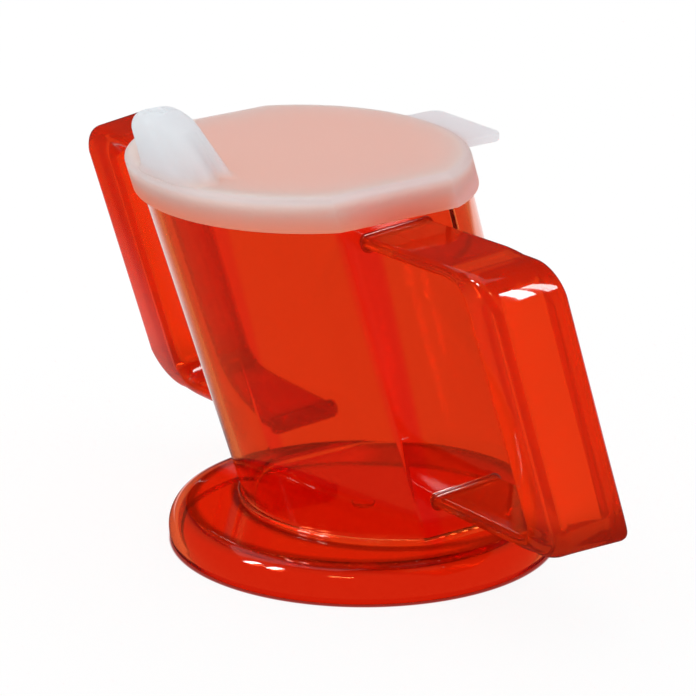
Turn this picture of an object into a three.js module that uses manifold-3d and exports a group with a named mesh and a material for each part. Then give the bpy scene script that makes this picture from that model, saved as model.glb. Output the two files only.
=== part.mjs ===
// A leaning two-handled drinking cup with a press-on spouted lid.
// Millimetres, +Z up. The cup leans towards -Y, the drinker's side, and the handles stand out along X.

import * as THREE from 'three';
import { mergeVertices } from 'three/addons/utils/BufferGeometryUtils.js';
import Module from 'manifold-3d';

const wasm = await Module();
wasm.setup();

// Foot: a round hollow bell with a flat top plate, which is also the floor of the cup.
const FOOT_RADIUS = 47;
const FOOT_HEIGHT = 9;
const FOOT_WALL = 2.2;
const FOOT_BELLY_HEIGHT = 3;
const FOOT_EDGE_TUCK = 0.9;
const SHOULDER_WIDTH = 5;
const GATE_RADIUS = 3;
const GATE_DROP = 0.6;

// Body: a leaning tube, round in front and behind and flat on the two sides that carry the handles.
const LEAN_ANGLE = 17.6;
const BODY_BACK_INSET = 1;
const BODY_FOOT_RADIUS = 36.6;
const BODY_RIM_RADIUS = 38.5;
const FLAT_CUT_AT_FOOT = 3.2;
const FLAT_CUT_AT_RIM = 3.6;
const BODY_RIM_HEIGHT = 97.3;
const BODY_WALL = 2.4;
const BODY_CORNER_ROUND = 3;
const LEAST_CORNER_ROUND = 0.3;
const BODY_LAP = 3.2;
const RIM_ROUND = 0.7;

// Handles: flat arms, tipped up a little at the back, that swell into a thick upright grip. The loop's outer
// corners are rounder in front than behind.
const HANDLE_REACH = 84.3;
const GRIP_THICKNESS = 15.2;
const GRIP_WIDTH = 19.6;
const GRIP_EDGE_ROUND = 2.8;
const EDGE_ROUND_SHARE = 0.46;
const GRIP_FORWARD = 0.85;
const HANDLE_TIP_ANGLE = 3.5;
const ARM_THICKNESS = 3.6;
const UPPER_ARM_DROP = 8.3;
const UPPER_ARM_CLIMB = 1.1;
const LOWER_ARM_RISE = 8.7;
const FRONT_CORNER_ROUND = 12;
const BACK_CORNER_ROUND = 8.5;
const FINGER_CORNER_ROUND = 5;
const ROOT_FILLET = 0.7;

// Lid: a flat panel with a skirt outside the rim and a sealing lip inside it.
const LID_PANEL = 2;
const LID_EDGE_ROUND = 2.6;
const SKIRT_WALL = 1.5;
const SKIRT_DEPTH = 6.7;
const LIP_WALL = 1.2;
const LIP_DEPTH = 3;

// Spout: a hollow beak on the front edge of the lid that leans with the cup, with a small oval mouth.
const SPOUT_HEIGHT = 16;
const SPOUT_WALL = 1.5;
const SPOUT_BASE_WIDTH = 24.4;
const SPOUT_BASE_DEPTH = 17;
const SPOUT_TIP_WIDTH = 14;
const SPOUT_TIP_DEPTH = 14;
const SPOUT_SETBACK = 0.4;
const SPOUT_CROWN_RISE = 4.8;
const SPOUT_CROWN_ROUND = 3.4;
const SPOUT_FILLET = 1.4;
const SPOUT_SQUARENESS = 0.7;
const MOUTH_LENGTH = 5;
const MOUTH_WIDTH = 3;

// Pull tab: a plate that stands out from the back edge of the lid.
const TAB_WIDTH = 26;
const TAB_REACH = 10;
const TAB_THICKNESS = 2;
const TAB_DROP = 1.5;
const TAB_CORNER_ROUND = 3;
const TAB_ROOT_ROUND = 2.5;
const TAB_LAP = 1.1;

// Clearances: between bonded pieces, and between the lid and the rim that it grips.
const BOND_GAP = 0.3;
const LID_FIT = 0.3;

// Facets along arcs.
const ROUND_STEPS = 72;
const ARC_STEPS = 22;
const CORNER_STEPS = 4;
const FLAT_STEPS = 4;
const EDGE_STEPS = 5;
const BEND_STEPS = 9;
const OVAL_STEPS = 44;
const HALVINGS = 40;

const leanSlope = Math.tan(THREE.MathUtils.degToRad(LEAN_ANGLE));
const tipSlope = Math.tan(THREE.MathUtils.degToRad(HANDLE_TIP_ANGLE));

// Middle of the leaning body at a height: its back starts just inside the foot's edge and moves forward.
const axisY = (z) => FOOT_RADIUS - BODY_BACK_INSET - BODY_FOOT_RADIUS - leanSlope * (z - FOOT_HEIGHT);

// Straight taper between the plate and the rim, carried on past both ends.
const tapered = (atFoot, atRim, z) => (
  atFoot + (atRim - atFoot) * (z - FOOT_HEIGHT) / (BODY_RIM_HEIGHT - FOOT_HEIGHT)
);

const bodyRadius = (z) => tapered(BODY_FOOT_RADIUS, BODY_RIM_RADIUS, z);
const bodyFlat = (z) => bodyRadius(z) - tapered(FLAT_CUT_AT_FOOT, FLAT_CUT_AT_RIM, z);

// Heights of the handles' arms, from the rim and from the plate, and of the loop's top.
const upperArmTop = BODY_RIM_HEIGHT - UPPER_ARM_DROP;
const loopTop = upperArmTop + UPPER_ARM_CLIMB;
const lowerArmUnderside = FOOT_HEIGHT + LOWER_ARM_RISE;
const bendX = HANDLE_REACH - GRIP_THICKNESS - FINGER_CORNER_ROUND;

// Closed surface through rings of equally many points, with a fan over the first and the last ring.
function loft(rings) {
  const count = rings[0].length;
  const points = rings.flat();
  const faces = [];
  for (let ring = 0; ring + 1 < rings.length; ring += 1) {
    for (let i = 0; i < count; i += 1) {
      const a = ring * count + i;
      const b = ring * count + (i + 1) % count;
      faces.push(a, b, a + count, b, b + count, a + count);
    }
  }
  const addFan = (first, reversed) => {
    const hub = new THREE.Vector3();
    for (let i = 0; i < count; i += 1) {
      hub.addScaledVector(points[first + i], 1 / count);
    }
    const hubIndex = points.push(hub) - 1;
    for (let i = 0; i < count; i += 1) {
      const a = first + i;
      const b = first + (i + 1) % count;
      faces.push(hubIndex, reversed ? b : a, reversed ? a : b);
    }
  };
  addFan(0, true);
  addFan((rings.length - 1) * count, false);
  return facingOut(points, faces);
}

// Closed surface through rings that run round a wall and come back to the first one.
function wallLoft(rings) {
  const count = rings[0].length;
  const points = rings.flat();
  const faces = [];
  rings.forEach((_, ring) => {
    const next = (ring + 1) % rings.length;
    for (let i = 0; i < count; i += 1) {
      const j = (i + 1) % count;
      const a = ring * count;
      const b = next * count;
      faces.push(a + i, a + j, b + i, a + j, b + j, b + i);
    }
  });
  return facingOut(points, faces);
}

// Geometry from points and triangles, turned so that the enclosed volume is positive.
function facingOut(points, faces) {
  let volume = 0;
  for (let i = 0; i < faces.length; i += 3) {
    const [a, b, c] = faces.slice(i, i + 3).map((index) => points[index]);
    volume += a.dot(new THREE.Vector3().crossVectors(b, c));
  }
  const geometry = new THREE.BufferGeometry().setFromPoints(points);
  geometry.setIndex(volume > 0 ? faces : faces.reverse());
  return geometry;
}

// Solid for cutting and joining.
function solid(geometry) {
  const bare = geometry.clone();
  bare.deleteAttribute('normal');
  bare.deleteAttribute('uv');
  const merged = mergeVertices(bare, 1e-4);
  return new wasm.Manifold(new wasm.Mesh({
    numProp: 3,
    vertProperties: new Float32Array(merged.attributes.position.array),
    triVerts: new Uint32Array(merged.index.array),
  }));
}

// Geometry of a finished solid.
function geometryOf(body) {
  const mesh = body.getMesh();
  const geometry = new THREE.BufferGeometry();
  geometry.setAttribute('position', new THREE.BufferAttribute(new Float32Array(mesh.vertProperties), 3));
  geometry.setIndex(new THREE.BufferAttribute(new Uint32Array(mesh.triVerts), 1));
  return geometry;
}

// Arc of points round a centre, from one angle to another, without its last point.
function arc(x, y, radius, from, to, steps) {
  return Array.from({ length: steps }, (_, i) => {
    const angle = from + (to - from) * i / steps;
    return new THREE.Vector2(x + radius * Math.cos(angle), y + radius * Math.sin(angle));
  });
}

// Circle cut by two flats, with its four corners rounded. Outlines that differ only by an offset share
// their corner centres, so a wall between two of them is equally thick all round.
function flattenedRound(radius, flat, cornerRound) {
  const cornerX = flat - cornerRound;
  const cornerY = Math.sqrt((radius - cornerRound) ** 2 - cornerX ** 2);
  const turn = Math.atan2(cornerY, cornerX);
  const side = (x, fromY, toY) => Array.from({ length: FLAT_STEPS }, (_, i) => (
    new THREE.Vector2(x, fromY + (toY - fromY) * i / FLAT_STEPS)
  ));
  const half = Math.PI;
  return [
    ...side(flat, -cornerY, cornerY),
    ...arc(cornerX, cornerY, cornerRound, 0, turn, CORNER_STEPS),
    ...arc(0, 0, radius, turn, half - turn, ARC_STEPS),
    ...arc(-cornerX, cornerY, cornerRound, half - turn, half, CORNER_STEPS),
    ...side(-flat, cornerY, -cornerY),
    ...arc(-cornerX, -cornerY, cornerRound, half, half + turn, CORNER_STEPS),
    ...arc(0, 0, radius, half + turn, 2 * half - turn, ARC_STEPS),
    ...arc(cornerX, -cornerY, cornerRound, 2 * half - turn, 2 * half, CORNER_STEPS),
  ];
}

// The body's outline at a height, grown or shrunk by an offset, on the leaning axis. Its corners stay
// slightly round however far it is shrunk.
function bodyRing(z, offset, outlineZ = z) {
  const cornerRound = Math.max(BODY_CORNER_ROUND + offset, LEAST_CORNER_ROUND);
  const outline = flattenedRound(bodyRadius(outlineZ) + offset, bodyFlat(outlineZ) + offset, cornerRound);
  return outline.map((p) => new THREE.Vector3(p.x, axisY(z) + p.y, z));
}

// Half of the foot's outside, from the ground over the belly and the shoulder to the plate's edge.
function footOutside(grow) {
  const plateEdge = FOOT_RADIUS - SHOULDER_WIDTH;
  const rise = FOOT_HEIGHT - FOOT_BELLY_HEIGHT;
  const tuck = arc(0, 0, 1, -Math.PI / 2, 0, EDGE_STEPS).map((p) => new THREE.Vector2(
    FOOT_RADIUS - FOOT_EDGE_TUCK * (1 - p.x) + grow,
    FOOT_BELLY_HEIGHT * (1 + p.y),
  ));
  const shoulder = arc(0, 0, 1, 0, Math.PI / 2, 2 * EDGE_STEPS).map((p) => new THREE.Vector2(
    plateEdge + (SHOULDER_WIDTH + grow) * p.x,
    FOOT_BELLY_HEIGHT + (rise + grow) * p.y,
  ));
  return [...tuck, ...shoulder, new THREE.Vector2(plateEdge, FOOT_HEIGHT + grow)];
}

// Turned solid from a half profile in the X and Z of its plane.
function turned(profile) {
  return new THREE.LatheGeometry(profile, ROUND_STEPS).rotateX(Math.PI / 2);
}

// Hollow bell: the outside and the same curve one wall further in, with the moulding's gate mark
// standing out under the middle of the plate.
function footSolid() {
  const outside = footOutside(0);
  const inside = footOutside(-FOOT_WALL).reverse().map((p) => new THREE.Vector2(p.x, Math.max(p.y, 0)));
  const ceiling = FOOT_HEIGHT - FOOT_WALL;
  return solid(turned([
    new THREE.Vector2(0, ceiling - GATE_DROP),
    new THREE.Vector2(GATE_RADIUS - GATE_DROP, ceiling - GATE_DROP),
    new THREE.Vector2(GATE_RADIUS, ceiling),
    ...inside,
    ...outside,
    new THREE.Vector2(0, FOOT_HEIGHT),
  ]));
}

// Room that the foot takes from a piece bonded over it.
function footRoom() {
  return solid(turned([
    new THREE.Vector2(0, 0),
    ...footOutside(BOND_GAP),
    new THREE.Vector2(0, FOOT_HEIGHT + BOND_GAP),
  ]));
}

// Leaning tube with a rounded rim. Its lower end laps down over the foot's shoulder at the back,
// where the leaning wall comes out past the plate.
function bodySolid() {
  const low = FOOT_HEIGHT - BODY_LAP;
  const rimStart = BODY_RIM_HEIGHT - RIM_ROUND;
  const outerRim = arc(0, 0, RIM_ROUND, 0, Math.PI / 2, CORNER_STEPS)
    .map((p) => bodyRing(rimStart + p.y, p.x - RIM_ROUND));
  const innerRim = arc(0, 0, RIM_ROUND, Math.PI / 2, 0, CORNER_STEPS)
    .map((p) => bodyRing(rimStart + p.y, RIM_ROUND - BODY_WALL - p.x));
  const tube = wallLoft([
    bodyRing(low, 0),
    ...outerRim,
    ...innerRim,
    bodyRing(rimStart, -BODY_WALL),
    bodyRing(low, -BODY_WALL),
  ]);
  return solid(tube).subtract(footRoom());
}

// Distance along a ray from a point inside a rounded corner to its edge, by halving.
function reachToCorner(from, direction, cornerX, cornerZ, round) {
  const outside = (t) => {
    const dx = from.x + direction.x * t - (cornerX - round);
    const dz = from.y + direction.y * t - (cornerZ - round);
    return Math.hypot(Math.max(dx, 0), Math.max(dz, 0)) + Math.min(Math.max(dx, dz), 0) > round;
  };
  let near = 0;
  let far = cornerX + cornerZ;
  for (let step = 0; step < HALVINGS; step += 1) {
    const middle = (near + far) / 2;
    if (outside(middle)) {
      far = middle;
    } else {
      near = middle;
    }
  }
  return near;
}

// Inner and outer edge of the handle through its upper corner, from the arm to the grip, and how many
// times thicker it is behind than in front. Sections turn about the middle of the finger corner.
function handleCorner() {
  const middle = new THREE.Vector2(bendX, loopTop - ARM_THICKNESS - FINGER_CORNER_ROUND);
  return Array.from({ length: BEND_STEPS + 1 }, (_, i) => {
    const angle = Math.PI / 2 * (1 - i / BEND_STEPS);
    const direction = new THREE.Vector2(Math.cos(angle), Math.sin(angle));
    const front = reachToCorner(middle, direction, HANDLE_REACH, loopTop, FRONT_CORNER_ROUND);
    const back = reachToCorner(middle, direction, HANDLE_REACH, loopTop, BACK_CORNER_ROUND);
    return {
      inner: middle.clone().addScaledVector(direction, FINGER_CORNER_ROUND),
      outer: middle.clone().addScaledVector(direction, front),
      swell: (back - FINGER_CORNER_ROUND) / (front - FINGER_CORNER_ROUND),
    };
  });
}

// Section of the handle between its inner and outer edge: a rounded rectangle that follows the lean, swells
// towards its back edge and is tipped up there.
function handleRing({ inner, outer, swell = 1 }, flare = 0, seated = false) {
  const along = outer.clone().sub(inner);
  const thickness = along.length();
  along.normalize();
  const halfThick = thickness / 2 + flare;
  const halfWide = GRIP_WIDTH / 2 + flare;
  const round = Math.min(GRIP_EDGE_ROUND, EDGE_ROUND_SHARE * thickness) + flare / 2;
  const quarter = Math.PI / 2;
  const section = [[1, 1], [-1, 1], [-1, -1], [1, -1]].flatMap(([sideA, sideB], corner) => arc(
    sideA * (halfThick - round), sideB * (halfWide - round), round,
    corner * quarter, (corner + 1) * quarter, CORNER_STEPS,
  ).concat(new THREE.Vector2(
    sideA * (halfThick - round) + round * Math.cos((corner + 1) * quarter),
    sideB * (halfWide - round) + round * Math.sin((corner + 1) * quarter),
  )));
  return section.map((p) => {
    const stretch = 1 + (swell - 1) * (p.y / halfWide + 1) / 2;
    const reach = (p.x + halfThick) * stretch - flare;
    const z = inner.y + along.y * reach;
    const tippedZ = z + p.y * tipSlope;
    const x = seated ? bodyFlat(tippedZ) + BOND_GAP : inner.x + along.x * reach;
    return new THREE.Vector3(x, axisY(z) - GRIP_FORWARD + p.y, tippedZ);
  });
}

// One arm from the wall to its corner: seated on the flat, with a fillet round its root. Its outer face
// starts at a height and climbs to the corner.
function armRings(height, inward, climb) {
  const wall = bodyFlat(height);
  const at = (x, flare, seated = false) => {
    const face = height + climb * (x - wall) / (bendX - wall);
    const inner = new THREE.Vector2(x, face + inward * ARM_THICKNESS);
    return handleRing({ inner, outer: new THREE.Vector2(x, face) }, flare, seated);
  };
  const fillet = arc(0, 0, ROOT_FILLET, Math.PI, Math.PI * 1.5, CORNER_STEPS).slice(1)
    .map((p) => at(wall + BOND_GAP + ROOT_FILLET + p.x, ROOT_FILLET + p.y));
  const foot = wall + BOND_GAP + ROOT_FILLET;
  return [at(wall, ROOT_FILLET, true), ...fillet, at(foot, 0), at((foot + bendX) / 2, 0)];
}

// Loop handle on the +X side: upper arm, grip and lower arm as one run of sections.
function handleGeometry() {
  const upper = handleCorner();
  const turnedOver = (p) => new THREE.Vector2(p.x, loopTop + lowerArmUnderside - p.y);
  const lower = upper
    .map(({ inner, outer, swell }) => ({ inner: turnedOver(inner), outer: turnedOver(outer), swell }))
    .reverse();
  return loft([
    ...armRings(upperArmTop, -1, UPPER_ARM_CLIMB),
    ...upper.map((edges) => handleRing(edges)),
    ...lower.map((edges) => handleRing(edges)),
    ...armRings(lowerArmUnderside, 1, 0).reverse(),
  ]);
}

// Heights of the lid, from the rim that carries it.
const lidUnderside = BODY_RIM_HEIGHT + LID_FIT;
const lidTop = lidUnderside + LID_PANEL;
const skirtBottom = lidUnderside - SKIRT_DEPTH;
const skirtOffset = LID_FIT + SKIRT_WALL;

// Ring of the lid: the rim's own outline with an offset, so that the skirt slides on along the lean.
const lidRing = (z, offset) => bodyRing(z, offset, BODY_RIM_HEIGHT);

// Panel, rounded edge, skirt and sealing lip in one closed surface.
function lidShell() {
  const lipOutside = -(BODY_WALL + LID_FIT);
  const lipInside = lipOutside - LIP_WALL;
  const lipBottom = lidUnderside - LIP_DEPTH;
  const edge = arc(0, 0, LID_EDGE_ROUND, 0, Math.PI / 2, EDGE_STEPS)
    .map((p) => lidRing(lidTop - LID_EDGE_ROUND + p.y, skirtOffset - LID_EDGE_ROUND + p.x));
  return solid(loft([
    lidRing(lidUnderside, lipInside),
    lidRing(lipBottom, lipInside),
    lidRing(lipBottom, lipOutside),
    lidRing(lidUnderside, lipOutside),
    lidRing(lidUnderside, LID_FIT),
    lidRing(skirtBottom, LID_FIT),
    lidRing(skirtBottom, skirtOffset),
    ...edge,
    lidRing(lidTop, skirtOffset - LID_EDGE_ROUND),
  ]));
}

// The spout's heights, and its size and leaning front at a height.
const spoutTop = lidTop + SPOUT_HEIGHT;
const crownStart = spoutTop - SPOUT_CROWN_RISE;
const lidFront = (z) => axisY(z) - BODY_RIM_RADIUS - skirtOffset;
const spoutFront = (z) => lidFront(z) + SPOUT_SETBACK;
const spoutTaper = (atBase, atTip, z) => atBase + (atTip - atBase) * (z - lidTop) / (crownStart - lidTop);
const spoutWidth = (z) => spoutTaper(SPOUT_BASE_WIDTH, SPOUT_TIP_WIDTH, z);
const spoutDepth = (z) => spoutTaper(SPOUT_BASE_DEPTH, SPOUT_TIP_DEPTH, z);

// Section of the spout: a superellipse, squarer than an ellipse, drawn in by an inset. Its front goes no
// further forward than a limit.
function spoutRing(z, inset, frontLimit = -Infinity) {
  const bent = (value) => Math.sign(value) * Math.abs(value) ** SPOUT_SQUARENESS;
  const front = Math.max(spoutFront(z) + inset, frontLimit);
  const back = spoutFront(z) + spoutDepth(z) - inset;
  return Array.from({ length: OVAL_STEPS }, (_, i) => {
    const angle = 2 * Math.PI * i / OVAL_STEPS;
    const x = (spoutWidth(z) / 2 - inset) * bent(Math.cos(angle));
    const y = (front + back) / 2 + (back - front) / 2 * bent(Math.sin(angle));
    return new THREE.Vector3(x, y, z);
  });
}

// Rounded crown that closes the spout, one wall further in for its inside.
function spoutCrown(wall) {
  return Array.from({ length: EDGE_STEPS + 1 }, (_, i) => {
    const angle = Math.PI / 2 * i / EDGE_STEPS;
    const z = crownStart + (SPOUT_CROWN_RISE - wall) * Math.sin(angle);
    return spoutRing(z, wall + (SPOUT_CROWN_ROUND - wall) * (1 - Math.cos(angle)));
  });
}

// Outside of the spout, with a fillet round its root, sunk into the panel where the two are one moulding.
function spoutOutside() {
  const panelFront = lidFront(lidTop) + LID_EDGE_ROUND / 2;
  const fillet = arc(0, 0, SPOUT_FILLET, Math.PI, Math.PI * 1.5, CORNER_STEPS)
    .map((p) => spoutRing(lidTop + SPOUT_FILLET + p.x, -SPOUT_FILLET - p.y, panelFront));
  const sunk = spoutRing(lidTop - LID_PANEL / 2, -SPOUT_FILLET, panelFront);
  return solid(loft([sunk, ...fillet, ...spoutCrown(0)]));
}

// Inside of the spout, open through the panel behind the sealing lip.
function spoutInside() {
  const lipFront = axisY(lidUnderside) - BODY_RIM_RADIUS + BODY_WALL + 2 * LID_FIT + LIP_WALL;
  return solid(loft([
    spoutRing(lidUnderside - LID_FIT, SPOUT_WALL, lipFront),
    spoutRing(lidTop, SPOUT_WALL, lipFront),
    ...spoutCrown(SPOUT_WALL),
  ]));
}

// Oval mouth through the spout's crown.
function mouth() {
  const oval = new THREE.Shape().absellipse(0, 0, MOUTH_LENGTH / 2, MOUTH_WIDTH / 2, 0, 2 * Math.PI);
  const plug = new THREE.ExtrudeGeometry(oval, {
    depth: SPOUT_CROWN_RISE, bevelEnabled: false, curveSegments: OVAL_STEPS / 2,
  });
  const middleY = spoutFront(spoutTop) + spoutDepth(spoutTop) / 2;
  return solid(plug.translate(0, middleY, spoutTop - 2 * SPOUT_WALL));
}

// Pull tab: a plate with rounded corners whose sides sweep out into the lid's back edge.
function tab() {
  const middleZ = lidTop - TAB_DROP - TAB_THICKNESS / 2;
  const lidRadius = BODY_RIM_RADIUS + skirtOffset;
  const halfRoot = TAB_WIDTH / 2 + TAB_ROOT_ROUND;
  const seatRadius = lidRadius - TAB_LAP;
  const seatAngle = Math.acos(halfRoot / seatRadius);
  const end = lidRadius + TAB_REACH;
  const sideStart = lidRadius * Math.sin(seatAngle) + TAB_ROOT_ROUND;
  const half = TAB_WIDTH / 2;
  const plate = new THREE.Shape();
  plate.moveTo(halfRoot, seatRadius * Math.sin(seatAngle));
  plate.lineTo(halfRoot, sideStart - TAB_ROOT_ROUND);
  plate.absarc(halfRoot, sideStart, TAB_ROOT_ROUND, -Math.PI / 2, -Math.PI, true);
  plate.absarc(half - TAB_CORNER_ROUND, end - TAB_CORNER_ROUND, TAB_CORNER_ROUND, 0, Math.PI / 2, false);
  plate.absarc(TAB_CORNER_ROUND - half, end - TAB_CORNER_ROUND, TAB_CORNER_ROUND, Math.PI / 2, Math.PI, false);
  plate.absarc(-halfRoot, sideStart, TAB_ROOT_ROUND, 0, -Math.PI / 2, true);
  plate.lineTo(-halfRoot, seatRadius * Math.sin(seatAngle));
  plate.absarc(0, 0, seatRadius, Math.PI - seatAngle, seatAngle, true);
  const slab = new THREE.ExtrudeGeometry(plate, {
    depth: TAB_THICKNESS, bevelEnabled: false, curveSegments: EDGE_STEPS,
  });
  return solid(slab.translate(0, axisY(middleZ), middleZ - TAB_THICKNESS / 2));
}

// The lid, its spout and its pull tab are one moulding.
function lidSolid() {
  return lidShell().add(spoutOutside()).add(tab()).subtract(spoutInside()).subtract(mouth());
}

// Clear red plastic of the cup, and milky plastic of the lid.
const redPlastic = () => new THREE.MeshStandardMaterial({ color: 0xd42a12, roughness: 0.08, metalness: 0 });
const milkyPlastic = () => new THREE.MeshStandardMaterial({ color: 0xe4e2e2, roughness: 0.4, metalness: 0 });

// Named piece of the assembly.
function piece(name, geometry, material) {
  const mesh = new THREE.Mesh(geometry, material);
  mesh.name = name;
  return mesh;
}

// The same handle mirrored to the other side, with its faces turned out again.
function mirrored(geometry) {
  const copy = geometry.clone().scale(-1, 1, 1);
  copy.setIndex(Array.from(copy.index.array).reverse());
  return copy;
}

const cup = new THREE.Group();
const rightHandle = handleGeometry();
cup.add(
  piece('foot', geometryOf(footSolid()), redPlastic()),
  piece('cup_body', geometryOf(bodySolid()), redPlastic()),
  piece('right_handle', rightHandle, redPlastic()),
  piece('left_handle', mirrored(rightHandle), redPlastic()),
  piece('lid', geometryOf(lidSolid()), milkyPlastic()),
);

// The origin is on the ground under the middle of the whole cup.
const reach = new THREE.Box3().setFromObject(cup);
cup.position.y = -(reach.min.y + reach.max.y) / 2;

export default cup;
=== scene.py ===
"""Looks of a leaning two-handled drinking cup in clear red plastic with a milky spouted lid.

Sizes are in millimetres and are turned into metres where a mesh or a material is made. +Z is up, the handles
stand out along X and the cup leans towards -Y, where its spout is.
"""

from __future__ import annotations

import logging
import math
from dataclasses import dataclass
from enum import Enum

import bpy
import numpy as np
from bpy.types import ID, Material, Mesh, Node, NodeSocket, NodeTree, Object, World
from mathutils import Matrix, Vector
from numpy.typing import NDArray

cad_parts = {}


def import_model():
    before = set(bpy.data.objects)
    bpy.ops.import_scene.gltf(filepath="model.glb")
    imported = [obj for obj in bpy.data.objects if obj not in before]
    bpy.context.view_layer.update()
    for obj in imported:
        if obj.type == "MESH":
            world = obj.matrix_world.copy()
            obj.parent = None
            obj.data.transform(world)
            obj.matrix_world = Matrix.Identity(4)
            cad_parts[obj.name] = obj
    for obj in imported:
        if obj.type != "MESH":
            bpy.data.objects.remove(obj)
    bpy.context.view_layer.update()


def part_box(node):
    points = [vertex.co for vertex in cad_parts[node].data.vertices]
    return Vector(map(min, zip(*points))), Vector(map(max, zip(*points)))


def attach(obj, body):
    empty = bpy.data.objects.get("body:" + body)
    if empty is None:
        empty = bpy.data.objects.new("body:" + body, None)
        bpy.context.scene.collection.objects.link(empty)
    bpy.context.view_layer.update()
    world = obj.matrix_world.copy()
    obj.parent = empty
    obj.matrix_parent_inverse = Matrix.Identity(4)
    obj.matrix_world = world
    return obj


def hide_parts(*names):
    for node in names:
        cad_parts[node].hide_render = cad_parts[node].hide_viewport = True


LOG = logging.getLogger("cup")
MM = 0.001
FULL_TURN = 2 * math.pi
HALF_TURN = math.pi
QUARTER_TURN = math.pi / 2
TINY = 1e-9
LIGHT_BOUNCES = 40
WHITE = "FFFFFF"

Array = NDArray[np.float64]
Faces = NDArray[np.int64]
Pair = tuple[float, float]
Triple = tuple[float, float, float]
Colour = tuple[float, float, float, float]


class Side(Enum):
    """Side of the cup that a handle stands on."""

    RIGHT = "right"
    LEFT = "left"


def linear(hex_colour: str) -> Colour:
    """Linear colour of an sRGB hex value.

    Args:
        hex_colour: six hex digits, two each for red, green and blue.

    Returns:
        Red, green, blue and an alpha of 1.
    """
    shares = np.array([int(hex_colour[i : i + 2], 16) for i in (0, 2, 4)]) / 255
    light = np.where(shares <= 0.04045, shares / 12.92, ((shares + 0.055) / 1.055) ** 2.4)
    return (*light.tolist(), 1.0)


def add_node(
    tree: NodeTree, kind: str, inputs: dict[str | int, object] | None = None, **settings: str
) -> Node:
    """Adds a shader node with its settings and what feeds it.

    Args:
        tree: the node tree.
        kind: the node's type name, without the word ShaderNode in front.
        inputs: by an input's name or number, a constant, a socket, or a node for its first output in use.
        settings: the node's own properties.

    Returns:
        The new node.
    """
    node = tree.nodes.new(f"ShaderNode{kind}")
    for name, value in settings.items():
        setattr(node, name, value)
    for name, value in (inputs or {}).items():
        if isinstance(value, Node):
            value = next(output for output in value.outputs if output.enabled)
        if isinstance(value, NodeSocket):
            tree.links.new(value, node.inputs[name])
        else:
            node.inputs[name].default_value = value
    return node


def bare_tree(owner: Material | World) -> NodeTree:
    """Turns on the nodes of a material or a world and clears them.

    Args:
        owner: the material or the world.

    Returns:
        Its empty node tree.
    """
    owner.use_nodes = True
    owner.node_tree.nodes.clear()
    return owner.node_tree


def placed(name: str, data: ID) -> Object:
    """Puts a mesh, a lamp or a camera into the scene.

    Args:
        name: the object's name.
        data: the mesh, lamp or camera.

    Returns:
        The new object.
    """
    thing = bpy.data.objects.new(name, data)
    bpy.context.scene.collection.objects.link(thing)
    return thing


def columns(*parts: Array | float) -> Array:
    """Spreads arrays to one shape and makes them the columns of rows, such as x, y and z of points."""
    return np.stack(np.broadcast_arrays(*parts), axis=-1)


def arc(start: float, stop: float, steps: int) -> Array:
    """Unit arc from one angle to another, both ends included, as rows of cosine and sine."""
    angle = np.linspace(start, stop, steps + 1)
    return columns(np.cos(angle), np.sin(angle))


def smooth(mesh: Mesh, sharp_degrees: float) -> None:
    """Smooth shading, with edges where faces turn by more than an angle."""
    mesh.shade_smooth()
    mesh.set_sharp_from_angle(angle=math.radians(sharp_degrees))


@dataclass
class Surface:
    """Closed surface: its points, and its faces as rows of four corners or of three."""

    points: Array
    quads: Faces
    triangles: Faces

    @classmethod
    def lofted(cls, rows: Array, around_wall: bool = False) -> Surface:
        """Skin over rows of points, each row a closed loop.

        A quad joins neighbours i and i + 1 of a row with the same two of the next row. A wall's last row is
        joined to its first. Otherwise both end rows are closed by a fan to their mean point.

        Args:
            rows: array of rows by points by three.
            around_wall: whether the rows run round a wall and come back.

        Returns:
            The closed surface, with its faces pointing out.
        """
        count, across = rows.shape[:2]
        points = rows.reshape(-1, 3)
        row = np.arange(count if around_wall else count - 1)[:, None] * across
        below = (row + across) % (count * across)
        first = np.arange(across)
        second = (first + 1) % across
        quads = columns(row + first, row + second, below + second, below + first).reshape(-1, 4)
        triangles = np.empty((0, 3), np.int64)
        if not around_wall:
            last = (count - 1) * across
            low = columns(len(points), second, first)
            high = columns(len(points) + 1, last + first, last + second)
            triangles = np.concatenate([low, high])
            points = np.concatenate([points, [rows[0].mean(axis=0), rows[-1].mean(axis=0)]])
        return cls(points, quads, triangles).facing_out()

    def facing_out(self) -> Surface:
        """Turns the faces, where that is needed, so that the enclosed volume is positive.

        Returns:
            The surface with its faces pointing out.
        """
        split = np.concatenate([self.quads[:, [0, 1, 2]], self.quads[:, [0, 2, 3]], self.triangles])
        a, b, c = (self.points[split[:, i]] for i in range(3))
        if np.einsum("ij,ij->i", a, np.cross(b, c)).sum() >= 0:
            return self
        return Surface(self.points, self.quads[:, ::-1], self.triangles[:, ::-1])

    def mirrored(self) -> Surface:
        """The surface on the other side of the plane X = 0, facing out again."""
        return Surface(self.points * [-1, 1, 1], self.quads, self.triangles).facing_out()

    def to_object(self, name: str, sharp_degrees: float = 35.0) -> Object:
        """Puts the surface into the scene.

        Args:
            name: the object's name.
            sharp_degrees: edges that turn by more than this show as edges, all others as smooth.

        Returns:
            The object, at the origin, with its place in its mesh.
        """
        mesh = bpy.data.meshes.new(name)
        mesh.from_pydata((self.points * MM).tolist(), [], self.quads.tolist() + self.triangles.tolist())
        mesh.validate()
        smooth(mesh, sharp_degrees)
        return placed(name, mesh)


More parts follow.
